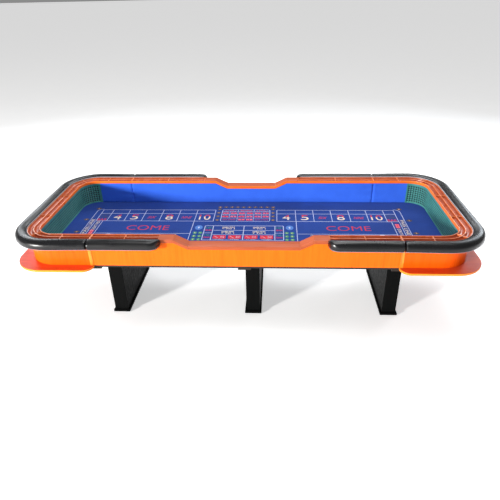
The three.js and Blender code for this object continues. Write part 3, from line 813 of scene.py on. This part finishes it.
def crinkle(piece, joint_x):
    """Gathers the cover where it is tucked in at a joint, in puckers that die away along the roll."""
    for vertex in piece.data.vertices:
        away = abs(vertex.co.x - joint_x)
        if away > PUCKER_REACH or is_tacked(vertex.co):
            continue
        s, z = outward_and_height(*vertex.co)
        angle = atan2(z - (ARMREST_FOOT + 0.035), s - (ARMREST_IN + 0.045))
        wander = noise.noise(Vector((angle * 3, joint_x * 7, copysign(3, vertex.co.y))))
        fold = sin(angle * 17 + 2.5 * wander)
        tuck = 0.004 * exp(-away / 0.006)
        lift = 0.0016 * fold * exp(-away / 0.022) - tuck
        vertex.co = vertex.co + vertex.normal * lift
    piece.data.update()


def make_roll(node, stations, shape, joint_x):
    """A padded roll. shape(section, point) is the section there."""
    section = armrest_section()
    cover = loft(stations, [shape(section, point) for point, _ in stations])
    roll = piece_of(node + "_roll", cover, ("armrest",), (node,), sharp=80)
    swell(roll)
    crinkle(roll, joint_x)
    smooth = roll.modifiers.new("Subdivision", "SUBSURF")
    smooth.levels = 1
    smooth.render_levels = 1


def make_welts(node, stations, shape):
    """The piping where the roll meets the rail, and the welt low on its face; their pale grey is a painted
    highlight along each bead.
    """
    inner = arc(RAIL_W + PIPING_R, RAIL_TOP + 0.004, PIPING_R, 0, 2 * pi, 10)[:-1]
    piece_of(f"{node}_piping", sweep(inner, stations), ("piping",), sharp=80)
    lower = arc(ARMREST_OUT - 0.0035, ARMREST_FOOT + 0.0165, WELT_R, 0, 2 * pi, 10)[:-1]
    sections = [shape(lower, point) for point, _ in stations]
    piece_of(f"{node}_welt", loft(stations, sections), ("piping",), sharp=80)


def fuller_section(section, point):
    """The section round an end: the roll grows fuller from its joints to the corners."""
    share = min(max((abs(point.x) - SEAM_X) / (HALF_L - CORNER_R - SEAM_X), 0), 1)
    width = 1 + END_FULLNESS * share ** 2 * (3 - 2 * share)
    return [(ARMREST_IN + (s - ARMREST_IN) * width, z) for s, z in section]


def make_armrests():
    """Six rolls: one round each end, and one beside each end of both cut-outs."""
    joint = low("armrest_right_end").x - JOINT_LAP
    for end, side in ENDS.items():
        node = f"armrest_{end}_end"
        stations = EndPath(side, joint).stations(0.009)
        make_roll(node, stations, fuller_section, side * joint)
        make_welts(node, stations, fuller_section)
    for row, sign in SIDES.items():
        tip = low(f"armrest_{row}_right").x
        inner_joint = high(f"armrest_{row}_right").x + JOINT_LAP

        def tapered(section, point):
            return tip_section(section, abs(point.x) - tip)

        for end, side in ENDS.items():
            node = f"armrest_{row}_{end}"
            stations = long_stations(sign, side * tip, side * inner_joint, 0.008)
            make_roll(node, stations, tapered, side * inner_joint)
            make_welts(node, stations[1:], tapered)


# ---- the layout ----
PRINT_SHIFT = -0.040  # the print's middle, along the table
PRINT_FOOT = CLOTH_TOP - 0.0002
PRINT_T = 0.0005
LINE_W = 0.005
TWO_TONE_LINE = 0.12  # where the numbers' red starts: this share of their height above their middle

COLUMNS = (0.292, 0.4665, 0.631, 0.7955, 0.962, 1.124, 1.2865, 1.3875)  # from the print's middle
NUMBERS = ("4", "5", "SIX", "8", "NINE", "10")
GRID_TOP, GRID_ROW, GRID_FOOT = 0.375, 0.291, 0.130
COME_FOOT = -0.118
FIELD_FOOT = -0.250
BAR_FOOT = -0.330
PASS_FOOT = -0.405
LANES = (1.322, 1.392, 1.443)
LANE_CORNERS = (0.06, 0.09, 0.12)
COME_IN = 0.467  # where COME and the rows in front of it start
NUMBER_Y, NUMBER_H = 0.214, 0.104
OVER = 0.0003  # what is printed over another ink stands this much higher

PIPS = {  # where a die's pips sit, in steps from its middle
    1: [(0, 0)],
    2: [(-1, 1), (1, -1)],
    3: [(-1, 1), (0, 0), (1, -1)],
    4: [(-1, 1), (1, 1), (-1, -1), (1, -1)],
    5: [(-1, 1), (1, 1), (-1, -1), (1, -1), (0, 0)],
    6: [(-1, 1), (1, 1), (-1, 0), (1, 0), (-1, -1), (1, -1)],
}


class Print:
    """Ink of one colour on the cloth: every stroke and letter is a thin closed solid."""

    def __init__(self, colour):
        self.colour = colour
        self.mesh = bmesh.new()

    def plate(self, outline, lift=0.0):
        """A filled shape, given in metres from the print's middle."""
        shifted = [(x + PRINT_SHIFT, y) for x, y in outline]
        slab(shifted, PRINT_FOOT, PRINT_FOOT + PRINT_T + lift, self.mesh)

    def box(self, x0, y0, x1, y1):
        self.plate([(x0, y0), (x1, y0), (x1, y1), (x0, y1)])

    def oval(self, x, y, rx, ry, lift=0.0, sides=20):
        self.plate(oval_arc(x, y, rx, ry, 0, 2 * pi, sides)[:-1], lift)

    def line(self, points, width=LINE_W):
        """A stroke through the points, mitred at its corners."""
        sides = []
        for i, here in enumerate(points):
            here = Vector(here)
            before = (here - Vector(points[max(i - 1, 0)])).normalized()
            after = (Vector(points[min(i + 1, len(points) - 1)]) - here).normalized()
            if i == 0:
                before = after
            if i == len(points) - 1:
                after = before
            normal = Vector((-(before + after).y, (before + after).x)).normalized()
            reach = width / 2 / max(0.3, normal.dot(Vector((-before.y, before.x))))
            sides.append((here + normal * reach, here - normal * reach))
        for (a, b), (c, d) in zip(sides, sides[1:]):
            self.plate([b, d, c, a])

    def words(self, body, x, y, width, height, *, turn=0.0, slant=0.0, bold=0.004, keep=None, lift=0.0):
        """Letters fitted into a box of that size about (x, y).

        keep is None, "upper" or "lower", for one colour of two-coloured letters."""
        curve = bpy.data.curves.new("lettering", "FONT")
        curve.body = body
        curve.offset = bold
        curve.shear = slant
        text = bpy.data.objects.new("lettering", curve)
        flat = bmesh.new()
        flat.from_mesh(text.to_mesh())
        text.to_mesh_clear()
        bpy.data.objects.remove(text)
        bpy.data.curves.remove(curve)
        spots = np.array([v.co for v in flat.verts])
        lowest, highest = spots.min(0), spots.max(0)
        middle, size = (lowest + highest) / 2, highest - lowest
        for v in flat.verts:
            v.co.x = (v.co.x - middle[0]) / size[0] * width
            v.co.y = (v.co.y - middle[1]) / size[1] * height
        if keep is not None:
            everything = [*flat.verts, *flat.edges, *flat.faces]
            cut = (0, height * TWO_TONE_LINE, 0)
            bmesh.ops.bisect_plane(flat, geom=everything, plane_co=cut, plane_no=(0, 1, 0),
                                   clear_outer=keep == "lower", clear_inner=keep == "upper")
        bmesh.ops.remove_doubles(flat, verts=flat.verts, dist=1e-6)
        raised = bmesh.ops.extrude_face_region(flat, geom=flat.faces[:], use_keep_orig=True)
        for item in raised["geom"]:
            if isinstance(item, bmesh.types.BMVert):
                item.co.z += PRINT_T + lift
        place = Matrix.Translation((x + PRINT_SHIFT, y, PRINT_FOOT)) @ Matrix.Rotation(turn, 4, "Z")
        bmesh.ops.transform(flat, matrix=place, verts=flat.verts)
        data = bpy.data.meshes.new("lettering")
        flat.to_mesh(data)
        flat.free()
        self.mesh.from_mesh(data)
        bpy.data.meshes.remove(data)

    def piece(self):
        return piece_of(f"layout_print_{self.colour}", self.mesh, (f"ink_{self.colour}",))


def rounded_frame(x0, y0, x1, y1, radius):
    """A closed rounded rectangle, clockwise from its far right corner."""
    left, right, near, far = x0 + radius, x1 - radius, y0 + radius, y1 - radius
    quarter = pi / 2
    points = []
    for k, (cx, cy) in enumerate(((right, far), (right, near), (left, near), (left, far))):
        points += arc(cx, cy, radius, (1 - k) * quarter, -k * quarter, 6)
    return points + points[:1]


def square_frame(x, y, size, radius):
    half = size / 2
    return rounded_frame(x - half, y - half, x + half, y + half, radius)


def badge(ground, pen, body, place, radii, size, bold=0.004):
    """An oval with lettering over it."""
    ground.oval(*place, *radii)
    pen.words(body, *place, *size, bold=bold, lift=OVER)


def pips(pen, x, y, count, step, radius, lift, sides):
    for dx, dy in PIPS[count]:
        pen.oval(x + dx * step, y + dy * step, radius, radius, lift, sides)


def die(inks, x, y, size, count):
    """A red die face with pale pips, printed flat."""
    inks.scarlet.plate(square_frame(x, y, size, size * 0.16)[:-1], 0.0002)
    pips(inks.white, x, y, count, size * 0.25, size * 0.09, 0.0005, 8)


def dice_pair(inks, x, y, size, first, second):
    die(inks, x - size * 0.58, y, size, first)
    die(inks, x + size * 0.58, y, size, second)


def outlined_die(inks, x, y, count):
    """A die drawn by its outline and pips, on a filled ground."""
    inks.white.line(square_frame(x, y, 0.040, 0.006), 0.004)
    pips(inks.white, x, y, count, 0.011, 0.005, 0.0004, 10)


def number_grid(inks, side):
    """The six number boxes and the box that is barred, at one end."""
    inner, last = side * COLUMNS[0], side * COLUMNS[-1]
    for y in (GRID_TOP, GRID_ROW, GRID_FOOT):
        inks.white.line([(inner, y), (last, y)])
    for x in COLUMNS:
        inks.white.line([(side * x, GRID_TOP), (side * x, GRID_FOOT)])
    for left, right, number in zip(COLUMNS, COLUMNS[1:], NUMBERS if side > 0 else NUMBERS[::-1]):
        x = side * (left + right) / 2
        if number in ("SIX", "NINE"):
            width = 0.096 if number == "NINE" else 0.082
            inks.red.words(number, x, NUMBER_Y - 0.006, width, 0.044, slant=0.35, bold=0.0)
            continue
        width = 0.104 if number == "10" else 0.070
        inks.red.words(number, x, NUMBER_Y, width, NUMBER_H, bold=0.0, keep="upper")
        inks.cream.words(number, x, NUMBER_Y, width, NUMBER_H, bold=0.0, keep="lower")
    barred_x = side * (COLUMNS[-2] + COLUMNS[-1]) / 2
    inks.red.words("BAR", barred_x, 0.158, 0.088, 0.044, bold=0.012)
    for body, y in (("DON'T", 0.258), ("COME", 0.214)):
        inks.black.words(body, barred_x, y, 0.078, 0.030)


def rows_and_lanes(inks, side):
    """COME, FIELD and the pass lines of one end, with the lanes that bend round its corner."""
    white, red, cream = inks.white, inks.red, inks.cream
    for y, reach in ((COME_FOOT, LANES[0]), (FIELD_FOOT, LANES[0] - 0.03)):
        white.line([(side * COME_IN, y), (side * reach, y)])
    white.line([(side * COME_IN, GRID_FOOT), (side * COME_IN, PASS_FOOT)])
    red.words("COME", 0.921 if side > 0 else -0.865, -0.008, 0.385, 0.088, bold=-0.008)
    cream.words("FIELD", side * 0.870, -0.205, 0.200, 0.046)
    cream.words("2  3  4  9  10  11  12", side * 0.850, -0.150, 0.540, 0.030)
    white.oval(side * 1.19, -0.150, 0.033, 0.022)
    red.words("PASS LINE", side * 0.900, (BAR_FOOT + PASS_FOOT) / 2, 0.420, 0.040)
    cream.words("DON'T PASS BAR", side * 0.900, (FIELD_FOOT + BAR_FOOT) / 2, 0.440, 0.036)
    for lane, foot, corner in zip(LANES, (FIELD_FOOT, BAR_FOOT, PASS_FOOT), LANE_CORNERS):
        start = [(lane, GRID_FOOT)]
        if lane == LANES[-1]:
            start = arc(lane - 0.055, GRID_TOP - 0.04, 0.055, pi / 2, 0, 8)
        bend = arc(lane - corner, foot + corner, corner, 0, -pi / 2, 8)
        white.line([(side * x, y) for x, y in (*start, *bend, (COME_IN, foot))])
    turn = -side * pi / 2
    cream.words("PASS LINE", side * 1.418, 0.020, 0.290, 0.030, turn=turn, bold=0.0)
    dice_y, words_y = (0.045, -0.095) if side > 0 else (-0.095, 0.035)
    cream.words("DON'T PASS", side * 1.357, words_y, 0.170, 0.032, turn=turn, bold=0.0)
    for offset in (-0.020, 0.020):
        die(inks, side * 1.357, dice_y + offset, 0.036, 6)
    for k, (x, y) in enumerate(((1.446, 0.400), (1.486, 0.156), (1.486, -0.095))):
        body = str(k + 1 if side > 0 else 8 - k)
        badge(inks.black, inks.orange, body, (side * x, y), (0.027, 0.021), (0.013, 0.021))


def centre_box(inks):
    """The proposition box behind the middle: rows of dice and the odds over them."""
    white, red, cream = inks.white, inks.red, inks.cream
    half, top, foot = 0.226, 0.382, 0.128
    rows = (0.345, 0.272, 0.199)
    white.line(rounded_frame(-half, foot, half, top, 0.018))
    for y in rows:
        white.line([(-half, y), (half, y)], 0.004)
    for x in (-half / 3, half / 3):
        white.line([(x, rows[0]), (x, top)], 0.004)
    for x, body in ((-0.150, "4 FOR 1"), (0, "SEVEN"), (0.150, "4 FOR 1")):
        red.words(body, x, (rows[0] + top) / 2, 0.110, 0.020, bold=0.02)
    cell = half / 3
    dice_rows = (
        ((3, 3), (5, 5), (4, 4), (2, 2), (6, 4), (5, 6)),
        ((1, 2), (6, 6), (1, 1), (6, 5), (2, 6), (3, 5)),
    )
    for y_high, y_low, dice in zip(rows, rows[1:], dice_rows):
        for k, (first, second) in enumerate(dice):
            left = -half + k * cell
            dice_pair(inks, left + cell / 2, (y_low + y_high) / 2 - 0.006, 0.026, first, second)
            cream.words("9 FOR 1", left + cell / 2, y_high - 0.010, 0.050, 0.008)
            if k:
                white.line([(left, y_low), (left, y_high)], 0.003)
    for side in (-1, 1):
        white.line([(side * 0.075, foot), (side * 0.075, rows[-1])], 0.003)
        red.words("ANY CRAPS", side * 0.150, 0.164, 0.120, 0.022)
        for k in range(4):
            place = (side * 0.257, 0.390 - k * 0.078)
            badge(inks.black, inks.orange, "E" if k % 2 else "C", place, (0.021, 0.022), (0.011, 0.016))
    dice_pair(inks, -0.035, 0.164, 0.028, 5, 6)
    dice_pair(inks, 0.038, 0.164, 0.028, 6, 5)
    for k in range(10):
        place, width = (-0.257 + k * 0.057, 0.442), 0.012 if k < 9 else 0.020
        badge(inks.black, inks.orange, str(k + 1), place, (0.023, 0.020), (width, 0.015))


def front_block(inks):
    """The proposition box at the dealers' side, and the ovals beside it."""
    white, red, cream, green = inks.white, inks.red, inks.cream, inks.green
    outer, inner, top, foot = 0.350, 0.275, 0.036, -0.236
    white.line(rounded_frame(-outer, foot, outer, top, 0.010), 0.006)
    for x in (-inner, 0, inner):
        white.line([(x, foot), (x, top)], 0.006)
    for y in (-0.054, -0.135):
        white.line([(-inner, y), (inner, y)], 0.005)
    for side in (-1, 1):
        white.line([(side * inner, -0.105), (side * outer, -0.105)], 0.005)
        for pen, body, y in ((green, "5 TO 1", -0.005), (red, "SEVEN", -0.052), (green, "7 TO 1", -0.145),
                             (red, "CRAPS", -0.188)):
            pen.words(body, side * (inner + outer) / 2, y, 0.058, 0.026, bold=0.02)
        for body, y in (("HARD WAY", 0.006), ("9 TO 1", -0.022), ("HARD WAY", -0.078), ("7 TO 1", -0.106)):
            cream.words(body, side * 0.137, y, 0.112, 0.020, bold=0.03)
        for centre, body in ((side * 0.070, "ANY CRAPS"), (side * 0.204, "HORN")):
            inks.scarlet.box(centre - 0.055, -0.210, centre + 0.055, -0.150)
            cream.words(body, centre, -0.222, 0.080, 0.010)
            outlined_die(inks, centre - 0.027, -0.180, 3)
            outlined_die(inks, centre + 0.027, -0.180, 5)
        for x, body in ((side * 0.378, "C"), (side * 0.425, "E")):
            for y in (-0.103, -0.165, -0.226):
                badge(green, cream, body, (x, y), (0.019, 0.022), (0.013, 0.018), bold=0.0)
        inks.sky.oval(side * 0.405, 0.0, 0.034, 0.044)
        white.oval(side * 0.405, 0.0, 0.010, 0.020, OVER, 4)


def make_layout():
    """The cloth, cut to the pit between the walls, and the inks printed on it."""
    edge = high("layout_cloth").x - HALF_L  # the cut edge, from the rail's inner edge
    outline = []
    for side in (1, -1):
        outline += [(point + out * edge)[:2] for point, out in EndPath(side, 0.0).stations(0.02)]
    cut = slab(outline, CLOTH_FOOT, CLOTH_TOP)
    sheet = piece_of("layout_cloth_printed", cut, ("layout",), ("layout_cloth",))
    inks = SimpleNamespace(**{colour: Print(colour) for colour in INKS})
    for side in (-1, 1):
        number_grid(inks, side)
        rows_and_lanes(inks, side)
    centre_box(inks)
    front_block(inks)
    prints = [pen.piece() for pen in vars(inks).values()]


# ---- carried-over CAD nodes ----
NODE_LOOKS = {  # by the start of a node's name: its look, and the width of its eased edges
    "levelling_foot": ("steel", 0.001),
    "pedestal_head": ("deck", 0.0015),
    "pedestal": ("pedestal", 0.0018),
    "bearer": ("deck", 0.0015),
    "cross_batten": ("deck", 0.0015),
    "deck": ("deck", 0.0008),
    "wall_frame": ("timber", 0),
    "apron_front": ("veneer", 0.001),
    "apron_rear": ("veneer", 0.001),
    "seam_post": ("seam_strip", 0.0012),
    "layout_underlay": ("underlay", 0),
}


def dress_frame():
    """Gives each node that is carried over its material and eased edges."""
    for name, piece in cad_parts.items():
        starts = [start for start in NODE_LOOKS if name.startswith(start)]
        if not starts:
            continue
        key, width = NODE_LOOKS[starts[0]]
        for place in piece.material_slots:
            place.material = looks[key]
        if width:
            bevel(piece, width)


# ---- stage, light and camera ----
FLOOR_HALF = 100.0


def make_stage():
    """A pale floor that reaches the horizon, with a slight glow that keeps it white."""
    data = bpy.data.meshes.new("floor")
    corners = [(x * FLOOR_HALF, y * FLOOR_HALF, 0) for x, y in ((-1, -1), (1, -1), (1, 1), (-1, 1))]
    data.from_pydata(corners, [], [(0, 1, 2, 3)])
    look = Look("floor_paint")
    paint = look.ramp(look.speckle(3), (0.3, (0.86, 0.86, 0.86, 1)), (0.7, (0.9, 0.9, 0.9, 1)))
    look.set(Base_Color=paint, Roughness=0.8, Emission_Color=(1, 1, 1, 1), Emission_Strength=0.45)
    data.materials.append(look.material)
    new_object("floor", data)


def add_area(name, place, target, size, power, colour=(1, 1, 1)):
    light = bpy.data.lights.new(name, "AREA")
    light.shape = "RECTANGLE"
    light.size, light.size_y = size
    light.energy = power
    light.color = colour
    lamp = new_object(name, light)
    lamp.location = place
    lamp.rotation_mode = "QUATERNION"
    lamp.rotation_quaternion = (Vector(target) - Vector(place)).to_track_quat("-Z", "Y")


def make_light():
    world = bpy.data.worlds.new("studio")
    world.use_nodes = True
    background = world.node_tree.nodes["Background"]
    background.inputs["Color"].default_value = (1.0, 1.0, 1.0, 1)
    background.inputs["Strength"].default_value = 0.26
    bpy.context.scene.world = world
    add_area("key_left", (-10.35, -9.37, 2.81), (0.0, 0.0, 0.75), (1.3, 1.3), 3300, (1.0, 0.985, 0.96))
    add_area("overhead", (0.3, -0.2, 4.2), (0.0, 0.2, 0.0), (4.6, 1.8), 140)
    add_area("front_fill", (1.5, -7.0, 2.6), (0, 0, 0.6), (5.0, 2.5), 15)
    add_area("rear_strip", (0.2, 4.4, 5.0), (0.0, -0.4, 0.9), (6.5, 1.2), 190, (0.94, 0.97, 1.0))
    add_area("rear_left_window", (-5.4, 4.8, 3.3), (-1.7, 0, 0.9), (2.4, 1.8), 75, (0.92, 0.96, 1.0))
    add_area("rear_right_window", (5.4, 4.8, 3.3), (1.7, 0, 0.9), (2.4, 1.8), 120, (0.86, 0.93, 1.0))


def make_camera():
    """Looks along +Y from the front, by its heading, its downward tilt and its roll."""
    place, heading, tilt, roll = (0.2383, -3.7853, 2.5669), 0.0605, 0.5115, -0.0225
    camera = bpy.data.cameras.new("camera")
    camera.sensor_width = 36
    camera.lens = 34.27
    camera.clip_start, camera.clip_end = 0.05, 150
    holder = new_object("camera", camera)
    pose = Matrix.Translation(place)
    for angle, axis in ((heading, "Z"), (pi / 2 - tilt, "X"), (roll, "Z")):
        pose = pose @ Matrix.Rotation(angle, 4, axis)
    holder.matrix_world = pose
    bpy.context.scene.camera = holder


make_camera()
make_stage()
make_light()
bpy.context.scene.view_settings.view_transform = "Standard"
dress_frame()
make_chip_rails()
make_drop_rails()
make_felt_walls()
make_rubber_walls()
make_end_aprons()
make_shelves()
make_layout()
make_armrests()

bpy.context.view_layer.update()
